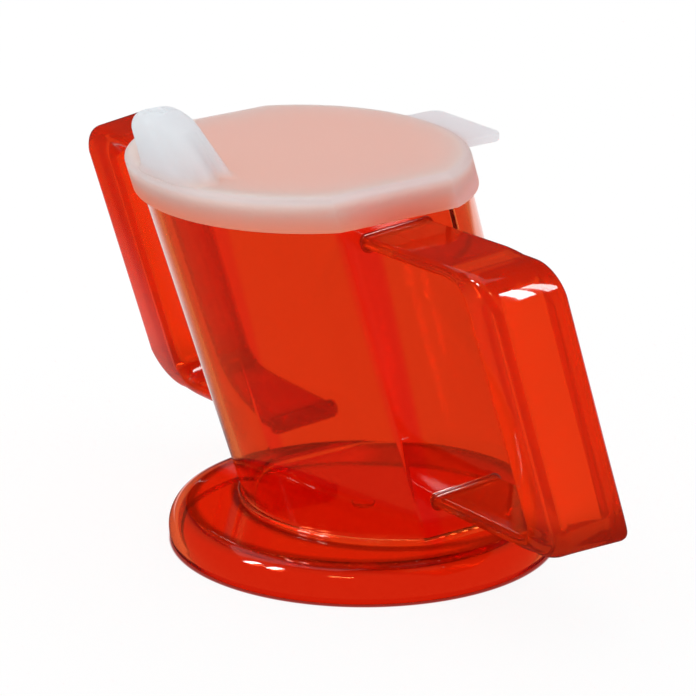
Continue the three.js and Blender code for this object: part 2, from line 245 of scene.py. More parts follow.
def combined(base: Object, steps: list[tuple[str, Object]], sharp_degrees: float) -> Object:
    """Joins other solids to a solid or cuts them out of it, in order.

    Args:
        base: the solid that is kept.
        steps: pairs of UNION or DIFFERENCE and the other solid, which is used up.
        sharp_degrees: edges that turn by more than this show as edges.

    Returns:
        The base, with its new mesh.
    """
    for operation, other in steps:
        step = base.modifiers.new(other.name, "BOOLEAN")
        step.operation = operation
        step.object = other
        step.solver = "MANIFOLD"
    graph = bpy.context.evaluated_depsgraph_get()
    mesh = bpy.data.meshes.new_from_object(base.evaluated_get(graph))
    base.modifiers.clear()
    base.data = mesh
    for _, other in steps:
        bpy.data.objects.remove(other)
    smooth(mesh, sharp_degrees)
    return base


def dress(thing: Object, material: Material, body: str, node: str) -> Object:
    """Gives a piece its material, its moving body and the node that it stands for.

    Args:
        thing: the piece.
        material: its finish.
        body: the body that it rides on.
        node: the solid that it replaces.

    Returns:
        The piece.
    """
    thing.data.materials.clear()
    thing.data.materials.append(material)
    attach(thing, body)
    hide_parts(node)
    return thing


@dataclass(frozen=True)
class BarShadeZones:
    """Where a handle's bar gets painted shade as a deeper red: at the loop's ends, less so on the arms, and at
    the arms' roots.

    A span gives where the share starts and where it is full: above or below a height over the loop's middle
    for the ends, from the arms' bend for the grip and from the wall for the roots.
    """

    middle_z: float
    root_x: float
    bend_x: float
    arm_shade_share: float
    lift: float = 4.0
    end_span: Pair = (26.0, 35.0)
    grip_span: Pair = (-5.0, 3.0)
    root_span: Pair = (2.5, 0.8)

    def share(self, tree: NodeTree, spot: NodeSocket) -> Node:
        """Share of the painted shade tint, from the distances to the loop's middle and to the cup's middle
        plane.

        Args:
            tree: the node tree.
            spot: its Object coordinates.

        Returns:
            The node with the share.
        """
        parts = add_node(tree, "SeparateXYZ", {"Vector": spot})
        centre = (self.middle_z + self.lift) * MM
        off = add_node(tree, "Math", {0: parts.outputs["Z"], 1: centre}, operation="SUBTRACT")
        gap = add_node(tree, "Math", {0: off}, operation="ABSOLUTE")
        out = add_node(tree, "Math", {0: parts.outputs["X"]}, operation="ABSOLUTE")
        ranges = (
            (gap, 0.0, self.end_span, 0.0),
            (out, self.bend_x, self.grip_span, self.arm_shade_share),
            (out, self.root_x, self.root_span, 0.0),
        )
        end, grip, root = (
            add_node(
                tree,
                "MapRange",
                {"Value": way, "From Min": (at + start) * MM, "From Max": (at + full) * MM, "To Min": least},
                interpolation_type="SMOOTHSTEP",
            )
            for way, at, (start, full), least in ranges
        )
        both = add_node(tree, "Math", {0: end, 1: grip}, operation="MULTIPLY")
        return add_node(tree, "Math", {0: both, 1: root}, operation="MAXIMUM")


@dataclass(frozen=True)
class FlatShadeStrips:
    """Strips of painted shade, a deeper red, along the front edges of the body's flats.

    A border is its distance in front of the leaning axis at the ground and its growth with height. The lean
    is the axis's run towards -Y for each millimetre of height.
    """

    lean: float
    axis_y: float
    edge: Pair = (14.84, 0.0145)
    inner: Pair = (10.85, -0.0583)
    edge_blur: float = 0.5
    inner_blur: float = 1.2

    def share(self, tree: NodeTree, spot: NodeSocket) -> Node:
        """Share of the painted shade tint: 1 between the two borders, by the distance in front of the axis.

        Args:
            tree: the node tree.
            spot: its Object coordinates.

        Returns:
            The node with the share.
        """
        parts = add_node(tree, "SeparateXYZ", {"Vector": spot})
        y, z = parts.outputs["Y"], parts.outputs["Z"]
        upright = add_node(tree, "Math", {0: z, 1: self.lean, 2: y}, operation="MULTIPLY_ADD")
        ahead = add_node(tree, "Math", {0: self.axis_y * MM, 1: upright}, operation="SUBTRACT")
        borders = []
        for (at_ground, growth), blur in ((self.inner, self.inner_blur), (self.edge, -self.edge_blur)):
            level = add_node(tree, "Math", {0: z, 1: -growth, 2: ahead}, operation="MULTIPLY_ADD")
            start, full = ((at_ground + way * blur / 2) * MM for way in (-1, 1))
            limits = {"Value": level, "From Min": start, "From Max": full}
            borders.append(add_node(tree, "MapRange", limits, interpolation_type="SMOOTHSTEP"))
        return add_node(tree, "Math", dict(enumerate(borders)), operation="MULTIPLY")


@dataclass(frozen=True)
class FootShadeRings:
    """Rings of painted shade on the foot, a deeper red: inside its plate's edge, and outside the body's bead.

    A bell gives how far a ring's middle is from that edge, outwards, and half the ring's width.
    """

    plate_y: float
    plate_radius: float
    bead_y: float
    bead_radius: float
    plate_bell: Pair = (-0.3, 2.4)
    bead_bell: Pair = (0.4, 2.0)
    core_share: float = 0.2

    def share(self, tree: NodeTree, spot: NodeSocket) -> Node:
        """Share of the painted shade tint: a bell over the distance from each ring, seen from above.

        Args:
            tree: the node tree.
            spot: its Object coordinates.

        Returns:
            The node with the share.
        """
        flat = add_node(tree, "VectorMath", {0: spot, 1: (1, 1, 0)}, operation="MULTIPLY")
        rings = (
            (self.plate_y, self.plate_radius, self.plate_bell),
            (self.bead_y, self.bead_radius, self.bead_bell),
        )
        bells = []
        for middle_y, radius, (outwards, half_width) in rings:
            away = add_node(tree, "VectorMath", {0: flat, 1: (0, middle_y * MM, 0)}, operation="DISTANCE")
            off = add_node(tree, "Math", {0: away, 1: (radius + outwards) * MM}, operation="SUBTRACT")
            gap = add_node(tree, "Math", {0: off}, operation="ABSOLUTE")
            start, full = half_width * MM, self.core_share * half_width * MM
            limits = {"Value": gap, "From Min": start, "From Max": full}
            bells.append(add_node(tree, "MapRange", limits, interpolation_type="SMOOTHSTEP"))
        return add_node(tree, "Math", dict(enumerate(bells)), operation="MAXIMUM")


@dataclass(frozen=True)
class ClearRedPlastic:
    """Clear red styrene plastic, injection moulded in a polished mould.

    It shows the white ground through its walls as a bright orange red, white glints on its rounded edges and
    a pale skin where it is seen edge on. Its dye stops all but red within the first tenths of a millimetre
    and hardly dims the red after that, so a thick bar looks much like a wall: most of the tint is in the
    skin, little in the depth. A thick bar also has flow marks all through, that throw back part of the light
    as an even red.
    """

    name: str
    skin_tint: str
    painted_shade_tint: str
    zones: BarShadeZones | FlatShadeStrips | FootShadeRings
    deep_tint: str = "FBE6DA"
    deep_at: float = 10.0
    roughness: float = 0.03
    clearness: float = 1.0
    ior: float = 1.57
    ripple_size: float = 14.0
    ripple_depth: float = 0.012
    ripple_rough: float = 0.4
    wipe_size: float = 56.0
    wipe_span: Pair = (0.35, 0.75)
    wipe_dulling: float = 1.6

    def make(self) -> Material:
        """Builds the material: tinted glass, painted shade in zones, a plain dye inside and the faint ripple
        of a moulded skin.

        Returns:
            The material.
        """
        material = bpy.data.materials.new(self.name)
        tree = bare_tree(material)
        spot = add_node(tree, "TexCoord").outputs["Object"]
        waves = {"Scale": 1 / (self.ripple_size * MM), "Detail": 1.0, "Roughness": self.ripple_rough}
        ripple = add_node(tree, "TexNoise", {"Vector": spot, **waves})
        wipe = add_node(tree, "TexNoise", {"Vector": spot, "Scale": 1 / (self.wipe_size * MM), "Detail": 3.0})
        start, full = self.wipe_span
        dulling = {"To Min": self.roughness, "To Max": self.wipe_dulling * self.roughness}
        gloss = add_node(tree, "MapRange", {"Value": wipe, "From Min": start, "From Max": full, **dulling})
        skin = add_node(tree, "Bump", {"Height": ripple, "Strength": 1.0, "Distance": self.ripple_depth * MM})
        # Painted shade: a deeper red tint laid over the skin tint where the zones' share is high.
        tints = {"A": linear(self.skin_tint), "B": linear(self.painted_shade_tint)}
        tint = add_node(tree, "Mix", {"Factor": self.zones.share(tree, spot), **tints}, data_type="RGBA")
        glass = {"IOR": self.ior, "Transmission Weight": self.clearness}
        feeds = {"Base Color": tint, "Roughness": gloss, "Normal": skin}
        shell = add_node(tree, "BsdfPrincipled", {**feeds, **glass})
        depth = {"Color": linear(self.deep_tint), "Density": 1 / (self.deep_at * MM)}
        dye = add_node(tree, "VolumeAbsorption", depth)
        add_node(tree, "OutputMaterial", {"Surface": shell, "Volume": dye})
        return material


@dataclass(frozen=True)
class MilkyPolyethylene:
    """Milky low-density polyethylene, moulded with a satin skin.

    It throws back part of the light and lets the rest through as a blur, so the red cup shows as a peach tone
    under the panel and the thin skirt. On the skirt that peach, and the orange of its low edge, are also
    painted on as glow of the red cup.
    The spout and the tab stand clear of the cup and look a cool white. The satin's grain is drawn coarser than
    the real one, which would be too fine to show. A span gives where a zone starts and where it is full, from
    the panel's height, the rim's reach or the flats.
    """

    middle: Triple
    panel_z: float
    rim_reach: float
    flat_reach: float
    name: str = "milky_polyethylene"
    over_cup: str = "FDF2EA"
    skirt_painted_glow: str = "FFD8C4"
    past_wall: str = "EAE4E4"
    clear_of_cup: str = "F0F8FF"
    let_through: str = "F8FAFA"
    low_edge_painted_glow: str = "FFCFAA"
    passing: float = 0.55
    passing_skirt: float = 0.77
    passing_rim: float = 0.47
    passing_clear: float = 0.66
    skirt_span: Pair = (-0.02, -0.9)
    low_span: Pair = (-4.3, -8.3)
    spout_span: Pair = (0.2, 2.5)
    tab_span: Pair = (0.0, 2.0)
    ring_span: Pair = (-2.6, -0.9)
    ior: float = 1.51
    roughness: float = 0.42
    satin_spread: float = 0.05
    grain_size: float = 1.6
    grain_depth: float = 0.02
    grain_span: Pair = (0.3, 0.7)

    def shares(self, tree: NodeTree, spot: NodeSocket) -> tuple[Node, Node, Node, Node]:
        """Shares of the lid's zones, by height and by distance from the panel's middle or the middle plane.

        The skirt and its low edge grow below the panel. A pale ring round the panel lies outside the cup's
        wall and has no red below it. The spout above the panel and the tab past the skirt stand clear of the
        cup.

        Args:
            tree: the node tree.
            spot: its Object coordinates.

        Returns:
            The nodes with the shares of the skirt, the ring, what stands clear and the low edge.
        """
        parts = add_node(tree, "SeparateXYZ", {"Vector": spot})
        z = parts.outputs["Z"]
        side = add_node(tree, "Math", {0: parts.outputs["X"]}, operation="ABSOLUTE")
        away = add_node(tree, "VectorMath", {0: spot, 1: Vector(self.middle) * MM}, operation="DISTANCE")
        ranges = (
            (z, self.panel_z, self.skirt_span, "LINEAR"),
            (z, self.panel_z, self.low_span, "LINEAR"),
            (z, self.panel_z, self.spout_span, "LINEAR"),
            (away, self.rim_reach, self.tab_span, "LINEAR"),
            (away, self.rim_reach, self.ring_span, "SMOOTHSTEP"),
            (side, self.flat_reach, self.ring_span, "SMOOTHSTEP"),
            (z, self.panel_z, self.ring_span, "SMOOTHSTEP"),
        )
        skirt, low, spout, tab, round_ring, flat_ring, ring_top = (
            add_node(
                tree,
                "MapRange",
                {"Value": way, "From Min": (at + start) * MM, "From Max": (at + full) * MM},
                interpolation_type=blend,
            )
            for way, at, (start, full), blend in ranges
        )
        clear = add_node(tree, "Math", {0: spout, 1: tab}, operation="MAXIMUM")
        ring = add_node(tree, "Math", {0: round_ring, 1: flat_ring}, operation="MAXIMUM")
        rim = add_node(tree, "Math", {0: ring, 1: ring_top}, operation="MULTIPLY")
        return skirt, rim, clear, low

    def make(self) -> Material:
        """Builds the material: a satin skin mixed with a blurred see-through share, both with a fine grain.

        Returns:
            The material.
        """
        material = bpy.data.materials.new(self.name)
        tree = bare_tree(material)
        spot = add_node(tree, "TexCoord").outputs["Object"]
        specks = {"Scale": 1 / (self.grain_size * MM), "Detail": 2.0}
        grain = add_node(tree, "TexNoise", {"Vector": spot, **specks})
        skin = add_node(tree, "Bump", {"Height": grain, "Strength": 1.0, "Distance": self.grain_depth * MM})
        start, full = self.grain_span
        spread = {"To Min": self.roughness - self.satin_spread, "To Max": self.roughness + self.satin_spread}
        satin = add_node(tree, "MapRange", {"Value": grain, "From Min": start, "From Max": full, **spread})
        skirt, rim, clear, low = self.shares(tree, spot)
        # Painted glow: the skirt's base colour is peach for the red cup behind it.
        colours = [linear(tint) for tint in (self.over_cup, self.skirt_painted_glow, self.past_wall, self.clear_of_cup)]
        amounts = [self.passing, self.passing_skirt, self.passing_rim, self.passing_clear]
        mixed = []
        for data_type, (below, *layers) in (("RGBA", colours), ("FLOAT", amounts)):
            for layer, share in zip(layers, (skirt, rim, clear)):
                below = add_node(tree, "Mix", {"Factor": share, "A": below, "B": layer}, data_type=data_type)
            mixed.append(below)
        white, passing = mixed
        feeds = {"Base Color": white, "Roughness": satin, "Normal": skin}
        shell = add_node(tree, "BsdfPrincipled", {"IOR": self.ior, **feeds})
        # Painted glow: the skirt's low edge lets through orange for the red wall behind it.
        tints = {"A": linear(self.let_through), "B": linear(self.low_edge_painted_glow)}
        through = add_node(tree, "Mix", {"Factor": low, **tints}, data_type="RGBA")
        blur = add_node(tree, "BsdfTranslucent", {"Color": through, "Normal": skin})
        both = add_node(tree, "MixShader", {0: passing, 1: shell, 2: blur})
        add_node(tree, "OutputMaterial", {"Surface": both})
        return material


@dataclass
class Foot:
    """Round hollow bell under the cup. Its top plate is the cup's floor, with a gate mark underneath.

    A gate step is how far in from the mark's edge and how far down it is, both in shares of the mark's drop.
    The lands are narrow flat strips next to a bend, and the pole is the smallest loop, round the middle.
    """

    centre_y: float
    radius: float = 47.0
    height: float = 9.0
    wall: float = 2.2
    belly: float = 3.0
    tuck: float = 0.9
    shoulder: float = 5.0
    gate_radius: float = 3.0
    gate_drop: float = 0.6
    gate_steps: tuple[Pair, ...] = ((1.5, 1.0), (0.5, 0.6), (0.0, 0.0))
    gate_land: float = 1.0
    edge_land: float = 0.2
    pole: float = 0.4
    plate_rows: int = 8
    under_rows: int = 6
    facets: int = 300
    sharp_degrees: float = 30.0

    @property
    def plate_radius(self) -> float:
        """Radius of the flat plate, where the shoulder starts."""
        return self.radius - self.shoulder

    def outside(self, grow: float) -> Array:
        """Half profile from the ground to the plate's edge, as rows of radius and height.

        The tuck and the shoulder are quarter ellipses: radius = middle + width * cosine, height = middle +
        rise * sine.

        Args:
            grow: distance by which the shoulder's ellipse is larger than the real outside.

        Returns:
            The profile's points.
        """
        tuck = arc(-QUARTER_TURN, 0, steps=12)[:-1]
        low = columns(self.radius - self.tuck * (1 - tuck[:, 0]) + grow, self.belly * (1 + tuck[:, 1]))
        bend = arc(0, QUARTER_TURN, steps=30)
        size = np.array([self.shoulder, self.height - self.belly]) + grow
        return np.concatenate([low, [self.plate_radius, self.belly] + size * bend])

    def top_at(self, radius: Array) -> Array:
        """Height of the foot's outside at a radius: the plate, and past its edge the shoulder's ellipse."""
        past = np.clip((radius - self.plate_radius) / self.shoulder, 0, 1)
        return self.belly + (self.height - self.belly) * np.sqrt(1 - past**2)

    def surface(self) -> Surface:
        """Turned bell: the profile's radius times cosine and sine of the turn, and its height.

        The profile goes from the gate mark out under the plate, down the inside, up the outside and in on
        top.

        Returns:
            The closed surface.
        """
        ceiling = self.height - self.wall
        plate_edge = self.plate_radius - self.edge_land
        gate = [
            [[self.pole, ceiling - self.gate_drop]],
            [self.gate_radius, ceiling] - np.array(self.gate_steps) * self.gate_drop,
            [[self.gate_radius + self.edge_land, ceiling]],
        ]
        under = columns(np.linspace(self.gate_radius + self.gate_land, plate_edge, self.under_rows), ceiling)
        plate = columns(np.linspace(plate_edge, self.pole, self.plate_rows), self.height)
        profile = np.concatenate([*gate, under, self.outside(-self.wall)[::-1], self.outside(0), plate])
        turn = np.linspace(0, FULL_TURN, self.facets, endpoint=False)
        radius, height = profile[:, None, 0], profile[:, None, 1]
        rows = columns(radius * np.cos(turn), radius * np.sin(turn) + self.centre_y, height)
        return Surface.lofted(rows)

    def build(self, material: Material) -> Object:
        """Makes the foot and puts it in its node's place."""
        thing = self.surface().to_object("red_foot", self.sharp_degrees)
        return dress(thing, material, "cup", "foot")


@dataclass
class CupBody:
    """Leaning tube on the foot: a circle cut by two flats, wider towards the rim."""

    foot: Foot
    lean_degrees: float = 17.6
    back_inset: float = 1.0
    foot_radius: float = 36.6
    rim_radius: float = 38.5
    flat_cut_foot: float = 3.2
    flat_cut_rim: float = 3.6
    rim_height: float = 97.3
    wall: float = 2.4
    corner_round: float = 3.0
    least_corner: float = 0.4
    rim_round: float = 0.7
    rim_land: float = 0.3
    seam: float = 0.06
    bead: float = 1.4
    bead_fade: Pair = (38.0, 42.0)
    bead_left: float = 0.02
    lap: float = 3.0
    first_climb: float = 4.0
    climb_rows: int = 8
    flat_steps: int = 8
    corner_steps: int = 10
    arc_steps: int = 84
    seat_rounds: int = 30

    @property
    def lean(self) -> float:
        """How far the axis runs towards -Y for each millimetre of height."""
        return math.tan(math.radians(self.lean_degrees))

    def axis_y(self, z: Array | float) -> Array:
        """Y of the leaning axis: a straight line, from inside the foot's back edge forward with height."""
        start = self.foot.centre_y + self.foot.radius - self.back_inset - self.foot_radius
        return start - self.lean * (np.asarray(z) - self.foot.height)

    def share(self, z: Array | float) -> Array:
        """How far up the wall a height is, from 0 at the plate to 1 at the rim."""
        return (np.asarray(z) - self.foot.height) / (self.rim_height - self.foot.height)

    def radius_at(self, z: Array | float) -> Array:
        """Radius of the round parts at a height, by straight taper."""
        return self.foot_radius + (self.rim_radius - self.foot_radius) * self.share(z)

    def flat_at(self, z: Array | float) -> Array:
        """Distance of the flats from the middle plane at a height."""
        cut = self.flat_cut_foot + (self.flat_cut_rim - self.flat_cut_foot) * self.share(z)
        return self.radius_at(z) - cut

    def outline(self, radius: Array, flat: Array, corner: Array) -> Array:
        """Circles cut by two flats, with rounded corners whose centres stay put when all sizes grow alike.

        Going round: a flat at x = flat, a corner arc about (flat - corner, +-c) with c^2 = (radius -
        corner)^2 - (flat - corner)^2, and the big arc about the middle between the corners' directions.

        Args:
            radius, flat, corner: one value for each loop.

        Returns:
            Array of loops by points by two.
        """
        radius, flat, corner = (np.atleast_1d(v)[:, None] for v in (radius, flat, corner))
        corner_x = flat - corner
        corner_y = np.sqrt((radius - corner) ** 2 - corner_x**2)
        turn = np.arctan2(corner_y, corner_x)
        bend = np.linspace(0, 1, self.corner_steps, endpoint=False)
        side = columns(flat, corner_y * np.linspace(-1, 1, self.flat_steps, endpoint=False))
        angle = turn * bend
        first = columns(corner_x + corner * np.cos(angle), corner_y + corner * np.sin(angle))
        angle = turn + (HALF_TURN - 2 * turn) * np.linspace(0, 1, self.arc_steps, endpoint=False)
        back = columns(radius * np.cos(angle), radius * np.sin(angle))
        angle = HALF_TURN - turn * (1 - bend)
        second = columns(corner * np.cos(angle) - corner_x, corner_y + corner * np.sin(angle))
        half = np.concatenate([side, first, back, second], axis=1)
        return np.concatenate([half, -half], axis=1)

    def loops(
        self, heights: Array, offsets: Array, outline_heights: Array | None = None, sharper: float = 0.0
    ) -> Array:
        """Loops of the wall at heights, each grown by an offset, on the leaning axis.

        Args:
            heights: height of each loop.
            offsets: distance outside the wall's outer face, negative inside.
            outline_heights: heights whose outline is taken, where they differ.
            sharper: how much smaller the corners' radius is than the wall's own.

        Returns:
            Array of loops by points by three.
        """
        taken = heights if outline_heights is None else outline_heights
        corners = np.maximum(self.corner_round - sharper + offsets, self.least_corner)
        flat = self.outline(self.radius_at(taken) + offsets, self.flat_at(taken) + offsets, corners)
        z = heights[:, None]
        return columns(flat[..., 0], flat[..., 1] + self.axis_y(z), z)

    def seated_loop(self, offset: Array | float) -> Array:
        """Loop where the wall meets the foot: z = the foot's top at the loop's own radius, by repetition.

        Where the wall stands out past the foot's shoulder, it ends a lap below the plate.

        Args:
            offset: distance outside the wall's outer face, negative inside, for all points or for each.

        Returns:
            The loop's points.
        """
        z = np.full(2 * (self.flat_steps + 2 * self.corner_steps + self.arc_steps), self.foot.height)
        corner = np.broadcast_to(np.maximum(self.corner_round + offset, self.least_corner), z.shape)
        each = np.arange(len(z))
        for _ in range(self.seat_rounds):
            flat = self.outline(self.radius_at(z) + offset, self.flat_at(z) + offset, corner)
            x, y = flat[each, each].T
            y = y + self.axis_y(z)
            top = self.foot.top_at(np.hypot(x, y - self.foot.centre_y)) + self.seam
            z = np.maximum(top, self.foot.height - self.lap)
        return columns(x, y, z)

    def foot_loops(self) -> Array:
        """Loops of the wall's lower end, from inside to outside: its seat, then a bead on the plate.

        The bead's section is a quarter circle: offset = bead * cosine, rise = bead * sine. It fades out
        towards the back, where the wall comes close to the foot's shoulder.

        Returns:
            Array of loops by points by three.
        """
        wall = self.seated_loop(0.0)
        near = np.hypot(wall[:, 0], wall[:, 1] - self.foot.centre_y)
        width = self.bead * np.interp(near, self.bead_fade, (1.0, self.bead_left))
        loops = [self.seated_loop(-self.wall), self.seated_loop(-self.wall / 2)]
        for across, up in arc(0, QUARTER_TURN, steps=10):
            loop = self.seated_loop(width * across)
            rise = width * up
            loop[:, 1] += self.axis_y(loop[:, 2] + rise) - self.axis_y(loop[:, 2])
            loop[:, 2] += rise
            loops.append(loop)
        return np.stack(loops)

    def surface(self) -> Surface:
        """Wall from the foot up the outside, over the rounded rim and down the inside, back to the start.

        Returns:
            The closed surface.
        """
        bend = arc(0, QUARTER_TURN, steps=8)
        start = self.rim_height - self.rim_round
        climb = np.linspace(self.foot.height + self.first_climb, start - self.rim_land, self.climb_rows)
        outer_z = np.concatenate([climb, start + self.rim_round * bend[:, 1]])
        outer_o = np.concatenate([np.zeros(self.climb_rows), self.rim_round * (bend[:, 0] - 1)])
        heights = np.concatenate([outer_z, outer_z[::-1]])
        offsets = np.concatenate([outer_o, -self.wall - outer_o[::-1]])
        rows = np.concatenate([self.foot_loops(), self.loops(heights, offsets)])
        return Surface.lofted(rows, around_wall=True)

    def build(self, material: Material) -> Object:
        """Makes the tube and puts it in its node's place."""
        thing = self.surface().to_object("red_body")
        return dress(thing, material, "cup", "cup_body")


@dataclass
class Handle:
    """Loop handle on one flat: arms, tipped up a little behind, that swell into a thick upright grip.

    The loop's outer corners are rounder in front than behind, and the lower one is nearly square behind. The
    lands are the distances of an arm's plain sections from its root's fillet and from its corner.
    """

    body: CupBody
    reach: float = 84.3
    grip_thickness: float = 15.2
    grip_width: float = 19.6
    grip_round: float = 2.8
    round_share: float = 0.46
    forward: float = 0.85
    tip_degrees: float = 3.5
    arm_thickness: float = 3.6
    upper_drop: float = 8.3
    upper_climb: float = 1.1
    lower_rise: float = 8.7
    front_round: float = 12.0
    back_round: float = 8.5
    low_back_round: float = 2.6
    low_back_climb: float = 0.13
    finger_round: float = 5.0
    root_fillet: float = 0.7
    root_lands: Pair = (0.3, 4.0)
    bend_lands: Pair = (6.0, 0.4)
    crown: float = 0.45
    seam: float = 0.06
    bend_steps: int = 40
    edge_steps: int = 8

    @property
    def root_top(self) -> float:
        """Height of the upper arm's top at the wall."""
        return self.body.rim_height - self.upper_drop

    @property
    def top(self) -> float:
        """Height of the loop's top, to which the upper arm climbs."""
        return self.root_top + self.upper_climb

    @property
    def bottom(self) -> float:
        """Height of the lower arm's underside."""
        return self.body.foot.height + self.lower_rise

    @property
    def bend_x(self) -> float:
        """Distance from the middle plane at which the arms turn into the corners."""
        return self.reach - self.grip_thickness - self.finger_round

    def corner_length(self, room: Array, ray: Array, rounding: float) -> Array:
        """Length of rays inside a square corner with a rounded tip, to its top, its side or its arc.

        Args:
            room: distance of the corner's side and top from the rays' start.
            ray: the rays' directions, of any length, in which the result is measured.
            rounding: radius of the tip.

        Returns:
            One length for each ray.
        """
        straight = np.min(room / np.maximum(ray, TINY), axis=1)
        tip = room - rounding
        along = ray @ tip
        size = (ray**2).sum(axis=1)
        to_arc = (along + np.sqrt(np.maximum(along**2 - size * (tip @ tip - rounding**2), 0))) / size
        in_tip = (ray * straight[:, None] > tip).all(axis=1)
        return np.where(in_tip, to_arc, straight)

    def corner(self, back_round: float, back_slope: float) -> tuple[Array, Array, Array]:
        """Inner and outer edge through the upper corner, from the arm to the grip, and the swell behind.

        Rays turn from upright to level about the middle of the finger corner. The inner edge is at its
        radius, and the outer edge where the ray leaves the loop's corner.

        Args:
            back_round: radius of the corner behind.
            back_slope: how steeply the top falls behind, away from the arm.

        Returns:
            Inner and outer points as rows of x and z, and how many times thicker the back is than the front.
        """
        middle = np.array([self.bend_x, self.top - self.arm_thickness - self.finger_round])
        ray = arc(QUARTER_TURN, 0, self.bend_steps)
        room = np.array([self.reach, self.top]) - middle
        front = self.corner_length(room, ray, self.front_round)
        back = self.corner_length(room, ray + ray[:, :1] * [0, back_slope], back_round)
        swell = (back - self.finger_round) / (front - self.finger_round)
        return middle + ray * self.finger_round, middle + ray * front[:, None], swell

    def sections(self, inner: Array, outer: Array, swell: Array, flare: Array) -> Array:
        """Rounded rectangles between the inner and outer edge, sheared with the lean and tipped up behind.

        In a section's own plane a point is (side * (half - r) + r * cosine, side * (half width - r) + r *
        sine). Its distance from the inner edge then grows in proportion to how far back it is, and falls off
        to both sides of the middle with the square of the distance, so the outer face is crowned.

        Args:
            inner, outer: rows of x and z.
            swell: how many times thicker each section is behind than in front.
            flare: growth of each section all round, for the fillet at the root.

        Returns:
            Array of sections by points by three.
        """
        along = outer - inner
        thickness = np.linalg.norm(along, axis=1)
        along = along / thickness[:, None]
        half = thickness / 2 + flare
        wide = self.grip_width / 2 + flare
        rounding = (np.minimum(self.grip_round, self.round_share * thickness) + flare / 2)[:, None, None]
        sides = np.array([[1, 1], [-1, 1], [-1, -1], [1, -1]])[:, None]
        bends = np.stack([arc(i * QUARTER_TURN, (i + 1) * QUARTER_TURN, self.edge_steps) for i in range(4)])
        across, level = (
            (sides[..., i] * (size[:, None, None] - rounding) + rounding * bends[..., i])
            .reshape(len(inner), -1)
            for i, size in enumerate((half, wide))
        )
        back_share = level / wide[:, None]
        stretch = 1 + (swell - 1)[:, None] * (back_share + 1) / 2
        fall = self.crown / self.grip_thickness * back_share**2
        reach = (across + half[:, None]) * (stretch - fall) - flare[:, None]
        x = inner[:, None, 0] + along[:, None, 0] * reach
        z = inner[:, None, 1] + along[:, None, 1] * reach
        tipped = z + level * math.tan(math.radians(self.tip_degrees))
        return columns(x, self.body.axis_y(z) - self.forward + level, tipped)

    def arm(self, height: float, thick: float, climb: float) -> Array:
        """Sections of one arm from the flat to its corner, with a quarter-round fillet at its root.

        Args:
            height: height of the arm's outer face at the wall.
            thick: its thickness, negative downwards.
            climb: how far its faces climb on the way to the corner.

        Returns:
            Array of sections by points by three.
        """
        wall = float(self.body.flat_at(height)) + self.seam
        fillet = arc(HALF_TURN, 1.5 * HALF_TURN, steps=8)
        root = wall + self.root_fillet * (1 + fillet[:, 0])
        lands = [wall + self.root_fillet + np.array(self.root_lands), self.bend_x - np.array(self.bend_lands)]
        x = np.concatenate([root, *lands])
        flare = np.zeros(len(x))
        flare[: len(root)] = self.root_fillet * (1 + fillet[:, 1])
        face = height + climb * (x - wall) / (self.bend_x - wall)
        rows = self.sections(columns(x, face + thick), columns(x, face), np.ones(len(x)), flare)
        rows[0, :, 0] = self.body.flat_at(rows[0, :, 2]) + self.seam
        return rows

    def surface(self) -> Surface:
        """Upper arm, grip and lower arm as one run of sections. The lower corner is the upper turned over.

        Returns:
            The closed surface.
        """
        inner, outer, swell = self.corner(self.back_round, 0.0)
        low_swell = self.corner(self.low_back_round, self.low_back_climb)[2]
        lift = np.array([0, self.top + self.bottom])
        inner, outer = (np.concatenate([edge, edge[::-1] * [1, -1] + lift]) for edge in (inner, outer))
        grip = self.sections(inner, outer, np.concatenate([swell, low_swell[::-1]]), np.zeros(len(inner)))
        upper = self.arm(self.root_top, -self.arm_thickness, self.upper_climb)
        lower = self.arm(self.bottom, self.arm_thickness, 0.0)
        return Surface.lofted(np.concatenate([upper, grip, lower[::-1]]))

    def build(self, side: Side, material: Material) -> Object:
        """Makes the handle of one side and puts it in its node's place.

        Args:
            side: the side that it stands on.
            material: its finish.

        Returns:
            The piece.
        """
        surface = self.surface()
        if side is Side.LEFT:
            surface = surface.mirrored()
        thing = surface.to_object(f"red_{side.value}_handle")
        return dress(thing, material, "cup", f"{side.value}_handle")


